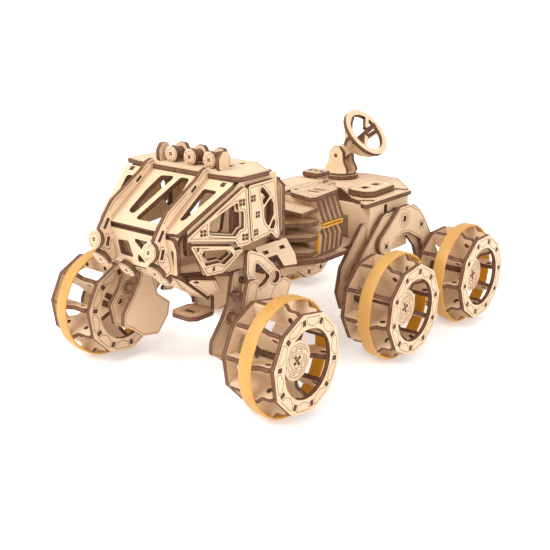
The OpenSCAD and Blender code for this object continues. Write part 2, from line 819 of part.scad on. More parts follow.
module front_rocker() {
    color(ply_c) {
        sheet_xz(rocker_in_y + ply)
            difference() {
                polygon(xz(soft([[-4, 58.5], [-11, 56], [-18.5, 52.4], [-27, 45.5], [-34, 38], [-36, 33],
                    [-32, 29], [-29, 27], [-21.3, 13.7], [-17, 10], [-12, 14], [-11.8, 24.9], [-7, 28.5],
                    [-3, 45]], 2)));
                polygon(xz(soft([[-11.3, 50.2], [-25.1, 37.2], [-20, 33.4], [-9.6, 31.5]], 1.5)));
                translate([front_x - 30.2, hub_z + 35.4])
                    circle(r = 3.8);
            }
        spacer(-6.6, 38, 2.1, leg_in_y + seat, rocker_in_y + 1);
        spacer(-6.2, 38, 2.1, rocker_in_y + ply - 1, leg_out_y - ply - seat);
        // a second plate behind, set off towards the axle
        sheet_xz(rocker_in_y + 0.01, ply)
            polygon(xz(soft([[-19, 10], [-24, 14], [-33, 30], [-43, 32], [-50, 27], [-46, 17], [-38, 19],
                [-30, 8]], 3)));
    }
}
// Plates sloping out over the gap between the shelves and the front wheels.
module leg_fairing() {
    color(ply_c) {
        translate([front_x, 38, hub_z + 54])
            rotate([-51.6, 0, 0])
                translate([0, 0, -ply])
                    linear_extrude(ply)
                        difference() {
                            polygon(soft([[-22, 0], [-24, 8.5], [-37.5, 8.5], [-38, 17], [-50, 18.5], [-53, 12],
                                [-53, 0]], 1.2));
                            for (x = [-29, -45])
                                translate([x, 5])
                                    slot(5, 2.4);
                        }
        translate([front_x - 47, 24, hub_z + shelf_z[1] + ply + seat])
            cube([ply, 14.2, 2.6]);
    }
}
module middle_arm() {
    color(ply_c) {
        sheet_xz(arm_out_y)
            polygon(xz(soft([[box_front_x + seat, 47], [-132, 46.5], [-108, 21], [-104, 4], [-110, -10],
                [-121, -10], [-127, 2], [-122, 14], [box_front_x + seat, 33]], 2.5)));
        spacer(mid_rel, 0, axle_r + 2, arm_out_y - 1, bogie_in_y - ply - seat);
    }
}
module bogie() {
    color(ply_c) {
        sheet_xz(bogie_in_y)
            polygon(xz(soft([[-180, 52], [-150, 52], [-147, 50.5], [-114, 20], [-105, 6], [-106, -8],
                [-118, -13], [-131, -7], [-134, 6], [-143, 22], [-155, 28], [-168, 32], [-180, 31], [-192, 20],
                [-199, 4], [-203, -8], [-212, -13], [-223, -8], [-224, 8], [-212, 26], [-199, 46],
                [-192, 51]], 3)));
        sheet_xz(bogie_out_y)
            difference() {
                polygon(xz(soft([[-176, 55], [-163, 55], [-157, 50], [-138, 36], [-137, 30], [-143, 23],
                    [-150, 24], [-158, 33], [-166, 36], [-175, 35], [-193, 26], [-199, 12], [-203, -8],
                    [-212, -12], [-222, -8], [-222, 6], [-210, 24], [-196, 43], [-190, 49]], 3)));
                translate([front_x + bogie_x, hub_z + pivot_z])
                    circle(r = 2.4);
                for (p = [[-146, 30], [-193, 37]])
                    translate([front_x + p[0], hub_z + p[1]])
                        slot(3.2, 3.2);
            }
        for (p = [[-144, 33], [-199, 30], [-212, 6], [bogie_x, pivot_z]])
            spacer(p[0], p[1], 4, bogie_in_y - 1, bogie_out_y - ply + 1);
        spacer(bogie_x, pivot_z, 7, box_half + seat, bogie_in_y - 1);
        axle(1, bogie_in_y - ply);
        axle(2, bogie_in_y - ply);
    }
}

// ---------------------------------------------------------------- dish
table_z = box_top + ply + 0.3;
dish_axis_z = table_z + 4.7 + dish_axis_h;
mast_pin_r = 1.5;

module dish_turntable() {
    color(ply_c) {
        translate([front_x - dish_back, -dish_side, hub_z + table_z - 5])
            cylinder(r = 2.5, h = 6);
        translate([front_x - dish_back, -dish_side, hub_z + table_z])
            cylinder(r = table_r, h = ply);
        translate([front_x - dish_back, -dish_side, hub_z + table_z + ply - 0.01])
            cylinder(r = table_r - 1.4, h = 1.71);
        for (x = [mast_gap / 2, -mast_gap / 2 - ply])
            sheet_yz(x - dish_back)
                difference() {
                    translate([-dish_side, 0])
                        polygon(yz(soft(whole_y([[0, table_z + 4.6], [10.4, table_z + 4.6],
                            [9.8, table_z + 8], [7, dish_axis_z - 5], [6, dish_axis_z + 3],
                            [3, dish_axis_z + 7], [0, dish_axis_z + 7]]), 1.2)));
                    translate([-dish_side, hub_z + dish_axis_z])
                        circle(r = mast_pin_r + run_gap);
                }
    }
}
// The dish stands in its own axes: local +X is the tilt axis and +Z the way it looks.
module on_dish() {
    translate([front_x - dish_back, -dish_side, hub_z + dish_axis_z])
        rotate([dish_aim - 90, 0, 0])
            children();
}
module dish_bowl() {
    reach = dish_reach - seat;
    color(ply_c)
        on_dish() {
            rotate([0, 90, 0])
                cylinder(r = mast_pin_r, h = mast_gap + 2 * ply, center = true);
            rotate([0, 90, 0])
                cylinder(r = 4.6, h = mast_gap - 1, center = true);
            rotate([90, 0, 90])
                translate([0, 0, -ply / 2])
                    linear_extrude(ply)
                        polygon(soft([[-4, 0], [-4.5, 9], [-11, 14], [-17, 21], [-dish_r + 1, reach],
                            [-dish_r + 5, reach], [-13, 23], [-7, 17.5], [0, 15.5], [7, 17.5], [13, 23],
                            [dish_r - 5, reach], [dish_r - 1, reach], [17, 21], [11, 14], [4.5, 9], [4, 0]], 1));
            rotate([90, 0, 0])
                translate([0, 0, -ply / 2])
                    linear_extrude(ply)
                        polygon(soft([[-3, 9], [-11, 14], [-17, 21], [-dish_r + 1, reach],
                            [-dish_r + 5, reach], [-13, 23], [-7, 17.5], [0, 15.5], [7, 17.5], [13, 23],
                            [dish_r - 5, reach], [dish_r - 1, reach], [17, 21], [11, 14], [3, 9]], 1));
            translate([-1.5, -1.5, 12])
                cube([3, 3, 27]);
        }
}
module dish_rim() {
    color(ply_c)
        on_dish()
            translate([0, 0, dish_reach])
                linear_extrude(ply)
                    difference() {
                        circle(r = dish_r);
                        difference() {
                            circle(r = dish_r - 4.5);
                            rotate(45)
                                difference() {
                                    slot(2 * dish_r, 3);
                                    slot(9, 9);
                                }
                        }
                    }
}

cab_floor();
cab_bulkhead();
roof_panel();
windshield_frame();
nose_frame();
chin_plates();
nose_winglets();
step_plate();
rail();  // guard_rail_left
mirror([0, 1, 0]) rail();  // guard_rail_right
cab_side_frame();  // cab_side_frame_left
mirror([0, 1, 0]) cab_side_frame();  // cab_side_frame_right
window_panel();  // window_panel_left
mirror([0, 1, 0]) window_panel();  // window_panel_right
lower_side_panel();  // lower_side_panel_left
mirror([0, 1, 0]) lower_side_panel();  // lower_side_panel_right
rear_side_panel();  // rear_side_panel_left
mirror([0, 1, 0]) rear_side_panel();  // rear_side_panel_right
roof_lamps();
nose_lamps();
seat_piece();  // seat
control_wheel();
belly_frame();
belly_deck();
equipment_shelves();
motor_ribs();
motor_bands();
lower_decks();
deck_panels();
spine_deck();
sample_box();
rear_box();
rear_deck();
rear_hatch();
front_leg();  // front_leg_left
mirror([0, 1, 0]) front_leg();  // front_leg_right
front_rocker();  // front_rocker_left
mirror([0, 1, 0]) front_rocker();  // front_rocker_right
both() leg_fairing();  // leg_fairings
middle_arm();  // middle_arm_left
mirror([0, 1, 0]) middle_arm();  // middle_arm_right
bogie();  // bogie_left
mirror([0, 1, 0]) bogie();  // bogie_right
dish_turntable();
dish_bowl();
dish_rim();
color(ply_c) on_axle(0) wheel(phase[0]);  // wheel_front_left
mirror([0, 1, 0]) color(ply_c) on_axle(0) wheel(phase[0]);  // wheel_front_right
color(amber_c) on_axle(0) tyre();  // tyre_front_left
mirror([0, 1, 0]) color(amber_c) on_axle(0) tyre();  // tyre_front_right
color(ply_c) on_axle(1) wheel(phase[1]);  // wheel_middle_left
mirror([0, 1, 0]) color(ply_c) on_axle(1) wheel(phase[1]);  // wheel_middle_right
color(amber_c) on_axle(1) tyre();  // tyre_middle_left
mirror([0, 1, 0]) color(amber_c) on_axle(1) tyre();  // tyre_middle_right
color(ply_c) on_axle(2) wheel(phase[2]);  // wheel_rear_left
mirror([0, 1, 0]) color(ply_c) on_axle(2) wheel(phase[2]);  // wheel_rear_right
color(amber_c) on_axle(2) tyre();  // tyre_rear_left
mirror([0, 1, 0]) color(amber_c) on_axle(2) tyre();  // tyre_rear_right
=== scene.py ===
# %% [markdown]
# # A plywood rover kit
# The object is a mechanical model cut from 3 mm plywood by a laser. Two things give such a kit its
# look: the sheet faces stay pale, and every cut edge is burnt brown. The CAD model holds every sheet
# at its place, so this script finds which surfaces are faces and which are cut edges, gives each its
# own finish, and then adds what the laser engraves on the faces.

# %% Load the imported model
import json
import math
import random

import bmesh
import bpy
from mathutils import Matrix, Vector


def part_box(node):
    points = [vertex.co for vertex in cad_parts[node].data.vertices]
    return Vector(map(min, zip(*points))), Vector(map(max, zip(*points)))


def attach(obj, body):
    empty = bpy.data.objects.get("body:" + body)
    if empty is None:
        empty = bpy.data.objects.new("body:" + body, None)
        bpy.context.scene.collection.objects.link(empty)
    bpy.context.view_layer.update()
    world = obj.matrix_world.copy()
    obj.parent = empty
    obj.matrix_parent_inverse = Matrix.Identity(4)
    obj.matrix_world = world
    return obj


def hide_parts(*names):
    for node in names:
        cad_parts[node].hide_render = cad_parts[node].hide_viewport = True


MM = 0.001
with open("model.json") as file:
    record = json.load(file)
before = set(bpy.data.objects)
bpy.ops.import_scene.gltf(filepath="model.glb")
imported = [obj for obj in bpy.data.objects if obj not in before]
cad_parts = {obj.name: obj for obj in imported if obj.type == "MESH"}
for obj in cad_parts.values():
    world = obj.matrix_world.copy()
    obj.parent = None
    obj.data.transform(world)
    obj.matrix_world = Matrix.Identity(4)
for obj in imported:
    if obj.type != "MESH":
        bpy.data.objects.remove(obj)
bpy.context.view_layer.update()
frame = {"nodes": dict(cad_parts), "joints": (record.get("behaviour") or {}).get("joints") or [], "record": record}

# %% [markdown]
# Places are counted as a kit designer would: forward from the front axle, left from the middle, and up
# from the hubs. The front axle's place comes from the model's own joints.

# %% Places
ROLL = {j["child"]: Vector(j["pos_m"]) for j in frame["joints"] if j["name"].endswith("_roll")}
HUB = Vector((ROLL["front_left_wheel"].x, 0, ROLL["front_left_wheel"].z))
BODY_OF = {n: b for b, names in frame["record"]["behaviour"]["bodies"].items() for n in names}
PLY = 3.0
UP = Vector((0, 0, 1))
DOWN = Vector((0, 0, -1))
FORWARD = Vector((1, 0, 0))
LEFT = Vector((0, 1, 0))
RIGHT = Vector((0, -1, 0))
OUTWARDS = {"left": LEFT, "right": RIGHT}


def at(x, y, z):
    """A place in metres, from millimetres forward, left and up of the front axle's middle."""
    return HUB + Vector((x, y, z)) * MM


print("front hub at", [round(v, 4) for v in HUB])

# %% [markdown]
# The camera comes first, because every later choice is judged through it. It looks down at the cab's
# left corner from a little above the model. Its lens is long, so the far wheels look only a little
# smaller than the near ones.

# %% Camera
camera = bpy.data.objects.new("camera", bpy.data.cameras.new("camera"))
bpy.context.scene.collection.objects.link(camera)
camera.data.lens = 63.4
camera.data.sensor_width = 36
camera.data.clip_end = 20
camera.location = at(412.4, 407.45, 219.4)
BACKWARDS = Vector((0.739, 0.601, 0.3054))
camera.rotation_euler = BACKWARDS.to_track_quat("Z", "Y").to_euler()
bpy.context.scene.camera = camera
print("camera at", [round(v, 3) for v in camera.location])

# %% [markdown]
# A white surround lights the wood from all round. One large soft lamp above and in front shapes the
# sheets, and a weaker one from the other side keeps the shadows open.

# %% Light
def lamp(name, place, target, size, power, colour=(1, 1, 1)):
    data = bpy.data.lights.new(name, "AREA")
    data.shape = "DISK"
    data.size = size
    data.energy = power
    data.color = colour
    obj = bpy.data.objects.new(name, data)
    bpy.context.scene.collection.objects.link(obj)
    obj.location = place
    obj.rotation_euler = (Vector(place) - Vector(target)).to_track_quat("Z", "Y").to_euler()


LIT_POINT = (0, 0, 0.05)
LAMP_SIZE = 0.7
lamp("key_light", (0.75, -0.15, 0.95), LIT_POINT, LAMP_SIZE, 9.0)
lamp("fill_light", (0.15, 0.95, 0.55), LIT_POINT, LAMP_SIZE, 2.5, (1.0, 0.97, 0.93))
world = bpy.data.worlds.new("white_surround")
bpy.context.scene.world = world
world.use_nodes = True
world.node_tree.nodes["Background"].inputs["Color"].default_value = (1, 1, 1, 1)
world.node_tree.nodes["Background"].inputs["Strength"].default_value = 1.0
bpy.context.scene.view_settings.view_transform = "Standard"
print("lamps:", len(bpy.data.lights))

# %% [markdown]
# Shader maths reads best as plain expressions, so one small class lets a node's output be added,
# multiplied and compared in Python. Every other node comes from one method that takes the node's type,
# its settings and what goes into its sockets.

# %% Shader expressions
class Wire:
    """A node's output that Python's operators work on."""

    def __init__(self, finish, socket):
        self.finish = finish
        self.socket = socket

    def maths(self, operation, first, second):
        return self.finish.node("ShaderNodeMath", {"operation": operation}, {0: first, 1: second})

    def __add__(self, other):
        return self.maths("ADD", self, other)

    def __radd__(self, other):
        return self.maths("ADD", other, self)

    def __sub__(self, other):
        return self.maths("SUBTRACT", self, other)

    def __rsub__(self, other):
        return self.maths("SUBTRACT", other, self)

    def __mul__(self, other):
        return self.maths("MULTIPLY", self, other)

    def __rmul__(self, other):
        return self.maths("MULTIPLY", other, self)

    def above(self, edge, soft):
        """0 below the edge and 1 above it, with a soft step between."""
        return self.finish.node(
            "ShaderNodeMapRange",
            {"interpolation_type": "SMOOTHSTEP"},
            {"Value": self, "From Min": edge - soft, "From Max": edge + soft},
        )


class Finish:
    """A material that is written as expressions."""

    def __init__(self, name, **fixed):
        self.material = bpy.data.materials.new(name)
        self.material.use_nodes = True
        self.tree = self.material.node_tree
        self.shader = self.tree.nodes["Principled BSDF"]
        for socket, value in fixed.items():
            self.shader.inputs[socket.replace("_", " ")].default_value = value

    def node(self, kind, settings, sockets, out=0):
        made = self.tree.nodes.new(kind)
        for name, value in settings.items():
            if name == "stops":
                ramp = made.color_ramp
                while len(ramp.elements) < len(value):
                    ramp.elements.new(0.5)
                for stop, (place, colour) in zip(ramp.elements, value):
                    stop.position = place
                    stop.color = (*colour, 1)
            else:
                setattr(made, name, value)
        self.fill(made, sockets)
        return Wire(self, made.outputs[out])

    def fill(self, made, sockets):
        for name, value in sockets.items():
            if isinstance(value, Wire):
                self.tree.links.new(value.socket, made.inputs[name])
            elif isinstance(value, tuple) and len(value) == 3 and made.inputs[name].type == "RGBA":
                made.inputs[name].default_value = (*value, 1)
            else:
                made.inputs[name].default_value = value

    def mix(self, amount, first, second):
        return self.node(
            "ShaderNodeMix", {"data_type": "RGBA"}, {0: amount, 6: first, 7: second}, out=2
        )

    def stretched(self, scale):
        """Object coordinates with each axis scaled, in pattern units per metre."""
        place = self.node("ShaderNodeTexCoord", {}, {}, out=3)
        return self.node("ShaderNodeVectorMath", {"operation": "MULTIPLY"}, {0: place, 1: scale})

    def noise(self, vector, scale, detail=3.0):
        return self.node(
            "ShaderNodeTexNoise", {}, {"Vector": vector, "Scale": scale, "Detail": detail}
        )

    def attribute(self, name):
        return self.node("ShaderNodeAttribute", {"attribute_name": name}, {}, out=2)

    def bump(self, height, strength, distance):
        return self.node(
            "ShaderNodeBump", {}, {"Height": height, "Strength": strength, "Distance": distance}
        )

    def finish(self, **changing):
        self.fill(self.shader, {k.replace("_", " "): v for k, v in changing.items()})
        return self.material


# %% [markdown]
# The sheet faces are sanded birch. Three things show up close: fine fibres along the grain, slow
# changes from cream to honey, and a slightly different tone on each sheet, because a kit comes from
# several boards. The tone is an attribute that the sheet finder writes below.

# %% Birch face
def birch_face():
    f = Finish("birch_face", Roughness=0.55, Specular_IOR_Level=0.35)
    fibre = f.noise(f.stretched((60, 900, 900)), 1.0, 4.0)
    cloud = f.noise(f.stretched((14, 30, 30)), 1.0, 2.0)
    tone = f.attribute("tone")
    pale = f.mix(tone, (0.77, 0.575, 0.385), (0.69, 0.490, 0.315))
    warm = f.mix(cloud.above(0.5, 0.2) * 0.45, pale, (0.66, 0.44, 0.26))
    colour = f.mix(fibre.above(0.6, 0.12) * 0.22, warm, (0.50, 0.31, 0.165))
    return f.finish(
        Base_Color=colour, Roughness=0.5 + fibre * 0.15, Normal=f.bump(fibre, 0.25, 0.0001)
    )


# %% [markdown]
# A laser burns the wood that it cuts, so an edge is dark brown. The core ply runs across the grain of
# the outer two and chars less, which leaves a faint lighter line along the middle of each edge. The
# attribute named layer runs from 0 at one face to 1 at the other, so the line is a narrow band at 0.5.

# %% Burnt edge
def burnt_edge():
    f = Finish("burnt_edge", Roughness=0.7, Specular_IOR_Level=0.25)
    layer = f.attribute("layer")
    core = layer.above(0.38, 0.05) * (1 - layer.above(0.62, 0.05))
    soot = f.noise(f.stretched((260, 260, 260)), 1.0, 3.0)
    streak = f.noise(f.stretched((1400, 1400, 120)), 1.0, 2.0)
    dark = f.mix(soot.above(0.5, 0.2), (0.085, 0.036, 0.019), (0.150, 0.066, 0.034))
    colour = f.mix(core * (0.25 + soot * 0.5), dark, (0.24, 0.120, 0.062))
    return f.finish(
        Base_Color=f.mix(streak.above(0.62, 0.1) * 0.25, colour, (0.28, 0.145, 0.078)),
        Normal=f.bump(streak, 0.3, 0.0001),
    )


# %% [markdown]
# Engraved lines and the ends of tabs are char too, but shallower: a thin, even, red-brown.

# %% Engraving and tab ends
def engraving():
    f = Finish("engraving", Roughness=0.8, Specular_IOR_Level=0.2)
    burn = f.noise(f.stretched((700, 700, 700)), 1.0, 2.0)
    char = f.mix(burn.above(0.5, 0.2), (0.115, 0.052, 0.027), (0.20, 0.10, 0.054))
    return f.finish(Base_Color=char)


def tab_end():
    f = Finish("tab_end", Roughness=0.75, Specular_IOR_Level=0.2)
    burn = f.noise(f.stretched((900, 900, 900)), 1.0, 2.0)
    char = f.mix(burn.above(0.5, 0.15), (0.070, 0.030, 0.017), (0.13, 0.058, 0.031))
    return f.finish(Base_Color=char)


# %% [markdown]
# The tyres and the motor bands are raw amber rubber. It is a little translucent, so the inside of a band, which
# light reaches through the wheel, looks a brighter yellow than its dusty outside. The inside gets a copy of the
# finish with a brighter, yellower colour and a faint glow. Both are painted light that stands for the light coming
# through, because painting it costs less than tracing it through the rubber.

# %% Amber rubber
def amber(name, base, deep, rough, glow):
    f = Finish(name, Roughness=rough, Subsurface_Weight=0.25, Subsurface_Scale=0.002)
    f.shader.inputs["Subsurface Radius"].default_value = (1.0, 0.5, 0.15)
    dust = f.noise(f.stretched((90, 90, 90)), 1.0, 3.0)
    fine = f.noise(f.stretched((1500, 1500, 1500)), 1.0, 2.0)
    colour = f.mix(dust.above(0.5, 0.25) * 0.6, base, deep)
    f.shader.inputs["Emission Strength"].default_value = glow
    return f.finish(
        Base_Color=colour,
        Emission_Color=colour,
        Roughness=rough + dust * 0.12,
        Normal=f.bump(fine, 0.15, 0.0001),
    )


FACE = birch_face()
EDGE = burnt_edge()
LINE = engraving()
TAB = tab_end()
BAND_OUT = amber("amber_outside", (0.60, 0.325, 0.078), (0.50, 0.245, 0.060), 0.42, 0.0)
# The inside copy is painted light: its yellower colour and its glow stand for light that comes through the rubber.
AMBER_PAINTED_GLOW = amber("amber_painted_glow", (0.66, 0.33, 0.022), (0.58, 0.26, 0.014), 0.35, 0.10)

print("finishes:", len(bpy.data.materials))

# %% [markdown]
# The model stands on a plain white floor that reaches far past it. A little light of its own keeps the
# floor nearly as white as the surround, so that only soft shadows show on it.

# %% Floor
floor_finish = Finish("floor_white", Roughness=0.9, Emission_Strength=0.3)
floor_finish.shader.inputs["Emission Color"].default_value = (1, 1, 1, 1)
speck = floor_finish.noise(floor_finish.stretched((3, 3, 3)), 1.0, 1.0)
floor_material = floor_finish.finish(
    Base_Color=floor_finish.mix(speck * 0.3, (0.96, 0.96, 0.96), (0.93, 0.93, 0.93))
)
floor_mesh = bpy.data.meshes.new("floor")
REACH = 6.0
floor_corners = [(-REACH, -REACH, 0), (REACH, -REACH, 0), (REACH, REACH, 0), (-REACH, REACH, 0)]
floor_mesh.from_pydata(floor_corners, [], [(0, 1, 2, 3)])
floor_mesh.materials.append(floor_material)
floor = bpy.data.objects.new("floor", floor_mesh)
bpy.context.scene.collection.objects.link(floor)
print("floor", 2 * REACH, "m square")

# %% [markdown]
# The sheet finder joins a node's triangles into flat patches. A patch that is wider than the sheet and
# not tiny is a face, and the rest are cut edges. The hatch is the one block that is thicker than a
# sheet, so its faces are told by their direction. The same patches give the outlines that the engraved
# borders follow.

# %% Flat patches
DOUBLED = 0.02 * MM
NEEDLE = 0.005 * MM
SAME_WAY = 0.99995
LEAST_FACE = 11
FACE_WIDTH = PLY * 1.12
THICK = {"rear_hatch": UP}


def merged(node):
    """A closed copy of a CAD node's mesh, with its doubled corners joined."""
    bm = bmesh.new()
    bm.from_mesh(frame["nodes"][node].data)
    bmesh.ops.remove_doubles(bm, verts=bm.verts, dist=DOUBLED)
    bmesh.ops.dissolve_degenerate(bm, edges=bm.edges, dist=NEEDLE)
    return bm


def flat_patches(bm):
    """The mesh's flat patches, each as its normal and its faces."""
    bm.faces.ensure_lookup_table()
    bm.normal_update()
    patch_of = {}
    patches = []
    for start in bm.faces:
        if start.index in patch_of or start.calc_area() < 1e-13:
            continue
        members = []
        waiting = [start]
        patch_of[start.index] = len(patches)
        while waiting:
            face = waiting.pop()
            members.append(face)
            for edge in face.edges:
                for other in edge.link_faces:
                    if other.index in patch_of or other.normal.dot(start.normal) < SAME_WAY:
                        continue
                    patch_of[other.index] = len(patches)
                    waiting.append(other)
        patches.append((start.normal.copy(), members))
    return patches


def width_of(normal, members):
    """The least width of a patch, in millimetres, measured across its own edges."""
    corners = {v for face in members for v in face.verts}
    inside = set(members)
    least = 1e9
    for face in members:
        for edge in face.edges:
            if len([f for f in edge.link_faces if f in inside]) != 1:
                continue
            along = (edge.verts[1].co - edge.verts[0].co).normalized()
            across = normal.cross(along)
            spread = [v.co.dot(across) for v in corners]
            least = min(least, max(spread) - min(spread))
    return least / MM


def is_sheet_face(node, normal, members):
    if node in THICK and abs(normal.dot(THICK[node])) < 0.9:
        return False
    area = sum(f.calc_area() for f in members) / MM**2
    return area > LEAST_FACE and width_of(normal, members) > FACE_WIDTH


# %% [markdown]
# Each sheet gets a copy of its CAD mesh with two materials. The layer attribute is set at every corner
# of a cut edge from the face that it meets, so the plies follow the sheet however it is turned.

# %% Dress a node
rng = random.Random(7)
SHARP = math.radians(15)
DRESSED = {}


def add_object(name, mesh, body):
    obj = bpy.data.objects.new(name, mesh)
    bpy.context.scene.collection.objects.link(obj)
    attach(obj, body)
    return obj


def dress(node):
    """Replaces a CAD node by its copy in two finishes, and keeps the outlines of its faces."""
    bm = merged(node)
    patches = flat_patches(bm)
    tone = bm.verts.layers.float.new("tone")
    layer = bm.verts.layers.float.new("layer")
    faces = []
    for normal, members in patches:
        if not is_sheet_face(node, normal, members):
            for face in members:
                face.material_index = 1
            continue
        faces.append((normal, members))
        shade = rng.random()
        lead = max(normal, key=abs)
        for face in members:
            face.material_index = 0
            for vert in face.verts:
                vert[tone] = shade
                vert[layer] = 1.0 if lead > 0 else 0.0
    outlines = [(normal, loops_of(members)) for normal, members in faces]
    for face in bm.faces:
        face.smooth = True
    mesh = bpy.data.meshes.new(node + "_dressed")
    bm.to_mesh(mesh)
    bm.free()
    mesh.set_sharp_from_angle(angle=SHARP)
    mesh.materials.append(FACE)
    mesh.materials.append(EDGE)
    obj = add_object(node + "_wood", mesh, BODY_OF[node])
    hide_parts(node)
    DRESSED[node] = outlines


def loops_of(members):
    """The closed outlines of a patch as lists of points, walked with the patch on the left."""
    inside = set(members)
    step = {}
    for face in members:
        for loop in face.loops:
            if len([f for f in loop.edge.link_faces if f in inside]) == 1:
                step.setdefault(loop.vert, []).append(loop.link_loop_next.vert)
    loops = []
    while step:
        first = next(iter(step))
        path = [first]
        here = first
        while here in step:
            nexts = step[here]
            there = nexts.pop()
            if not nexts:
                del step[here]
            if there is first:
                break
            path.append(there)
            here = there
        if len(path) > 2:
            loops.append([v.co.copy() for v in path])
    return loops


BANDS = [n for n in frame["nodes"] if n.startswith("tyre_") or n == "motor_bands"]
for name in sorted(frame["nodes"]):
    if name not in BANDS:
        dress(name)
print("dressed", len(DRESSED), "nodes")

# %% [markdown]
# Laser lines are a third of a millimetre wide. Each is a thin closed ribbon that stands a hair above
# the sheet, so that it is real geometry from every side. A ribbon's corners are mitred: the two edges
# meet on the line that halves the corner.

# %% Ribbons
LIFT = 0.04 * MM
LINE_W = 0.36
FINE_LINE_W = 0.3


def ribbon(bm, points, normal, width, closed=True):
    """A thin raised strip along the points, in metres, on a surface with that normal."""
    count = len(points)
    half = width * MM / 2
    rings = []
    for i, point in enumerate(points):
        before = points[i - 1] if closed or i else point
        after = points[(i + 1) % count] if closed or i < count - 1 else point
        into = (point - before).normalized()
        out = (after - point).normalized()
        if into.length < 0.5:
            into = out
        if out.length < 0.5:
            out = into
        side = normal.cross(into + out)
        side = side.normalized() if side.length > 1e-6 else normal.cross(into)
        side = side * (half / max(0.4, side.dot(normal.cross(into))))
        low = point - normal * LIFT
        high = point + normal * LIFT
        rings.append([bm.verts.new(p) for p in (low - side, low + side, high + side, high - side)])
    for i in range(count if closed else count - 1):
        a = rings[i]
        b = rings[(i + 1) % count]
        for k in range(4):
            m = (k + 1) % 4
            bm.faces.new((a[k], b[k], b[m], a[m]))
    if not closed:
        bm.faces.new(rings[0])
        bm.faces.new(rings[-1][::-1])


def block(bm, centre, along, across, length, width, lift=0.06):
    """A flat rectangular plug that shows its end in a surface: along and across span the surface."""
    normal = along.cross(across).normalized()
    u = along.normalized() * (length * MM / 2)
    v = across.normalized() * (width * MM / 2)
    n = normal * (lift * MM)
    low = [bm.verts.new(centre + p - n) for p in (-u - v, u - v, u + v, -u + v)]
    high = [bm.verts.new(centre + p + n) for p in (-u - v, u - v, u + v, -u + v)]
    bm.faces.new(low[::-1])
    bm.faces.new(high)
    for k in range(4):
        m = (k + 1) % 4
        bm.faces.new((low[k], low[m], high[m], high[k]))


def finish_mesh(name, bm, material, body):
    """Makes a piece of wood from a bmesh and rides it on a body."""
    bmesh.ops.recalc_face_normals(bm, faces=bm.faces)
    mesh = bpy.data.meshes.new(name)
    bm.to_mesh(mesh)
    bm.free()
    mesh.materials.append(material)
    obj = add_object(name, mesh, body)


print("lines", LINE_W, "mm wide, raised", round(LIFT / MM, 3), "mm")


# %% [markdown]
# Most sheets carry an engraved line just inside their outline. Moving an outline inwards is simple
# while every edge survives, but short edges on round corners turn inside out. So an edge that has
# turned round is dropped, and its neighbours are extended until they meet again.

# %% Inset outlines
BORDER_INSET = 1.3
BORDER_STEP = 2.5
ROOM_SHARE = 0.93


def inset(points, normal, distance):
    """The outline moved inwards by a distance, in millimetres, or None where nothing is left."""
    edges = []
    count = len(points)
    for i in range(count):
        a = points[i]
        way = points[(i + 1) % count] - a
        if way.length < 1e-6:
            continue
        way.normalize()
        if edges and edges[-1][1].dot(way) > 0.99999:
            continue
        edges.append((a + normal.cross(way) * distance * MM, way))
    if len(edges) > 2 and edges[0][1].dot(edges[-1][1]) > 0.99999:
        edges.pop()
    while len(edges) > 2:
        corners = []
        for i in range(len(edges)):
            p, u = edges[i - 1]
            q, v = edges[i]
            turn = normal.dot(u.cross(v))
            if abs(turn) < 1e-5:
                corners.append(q)
                continue
            corners.append(p + u * (normal.dot((q - p).cross(v)) / turn))
        kept = [
            (corners[(i + 1) % len(edges)] - corners[i]).dot(edges[i][1]) for i in range(len(edges))
        ]
        worst = min(range(len(kept)), key=kept.__getitem__)
        if kept[worst] > -1e-9:
            return corners
        edges.pop(worst)
    return None


def gap_to(point, loops):
    """Distance in millimetres from a point to the nearest stretch of any outline."""
    least = 1e9
    for loop in loops:
        for i, a in enumerate(loop):
            b = loop[(i + 1) % len(loop)]
            way = b - a
            t = max(0.0, min(1.0, (point - a).dot(way) / max(way.length_squared, 1e-18)))
            least = min(least, (point - a - way * t).length)
    return least / MM


def border(bm, loops, normal, distance, width):
    """Engraves every outline of a sheet, leaving out the stretches where there is no room."""
    drawn = 0
    for loop in loops:
        moved = inset(loop, normal, distance)
        if not moved:
            continue
        points = []
        for i, a in enumerate(moved):
            b = moved[(i + 1) % len(moved)]
            steps = max(1, int((b - a).length / (BORDER_STEP * MM)))
            points += [a.lerp(b, k / steps) for k in range(steps)]
        room = [gap_to(p, loops) > distance * ROOM_SHARE for p in points]
        if all(room):
            ribbon(bm, moved, normal, width)
            drawn += 1
            continue
        if not any(room):
            continue
        start = room.index(False)
        run = []
        for k in range(len(points) + 1):
            i = (start + k) % len(points)
            if room[i] and k < len(points):
                run.append(points[i])
                continue
            if len(run) > 3:
                ribbon(bm, run, normal, width, closed=False)
                drawn += 1
            run = []
    return drawn


PLAIN = {
    "belly_frame", "control_wheel", "nose_lamps", "roof_lamps", "motor_ribs", "dish_bowl", "dish_rim",
    "dish_turntable", "cab_side_frame_left", "cab_side_frame_right", "windshield_frame", "nose_frame",
    "rear_box", "leg_fairings", "seat",
}
bordered = 0
for node in sorted(DRESSED):
    if node in PLAIN or node.startswith("wheel_"):
        continue
    bm = bmesh.new()
    lines = 0
    for normal, loops in DRESSED[node]:
        if loops:
            lines += border(bm, loops, normal, BORDER_INSET, LINE_W)
    if lines:
        finish_mesh(node + "_border", bm, LINE, BODY_OF[node])
        bordered += 1
    else:
        bm.free()
print("engraved borders on", bordered, "nodes")

# %% [markdown]
# Where one sheet plugs into another, the end of its tab shows as a burnt square in the other's face.
# Strong joints have four such ends in a block. Each place is given on a panel's outer face as a
# distance forward and a height, and the face's own plane gives the third number.

# %% Tab ends in the side panels
FLARE = math.radians(19.6)
SIDE_FRONT = 33
PANEL_TAB = {"count": 2, "pitch": 2.15, "size": 1.8}
LEAST_PANEL = 12 * MM


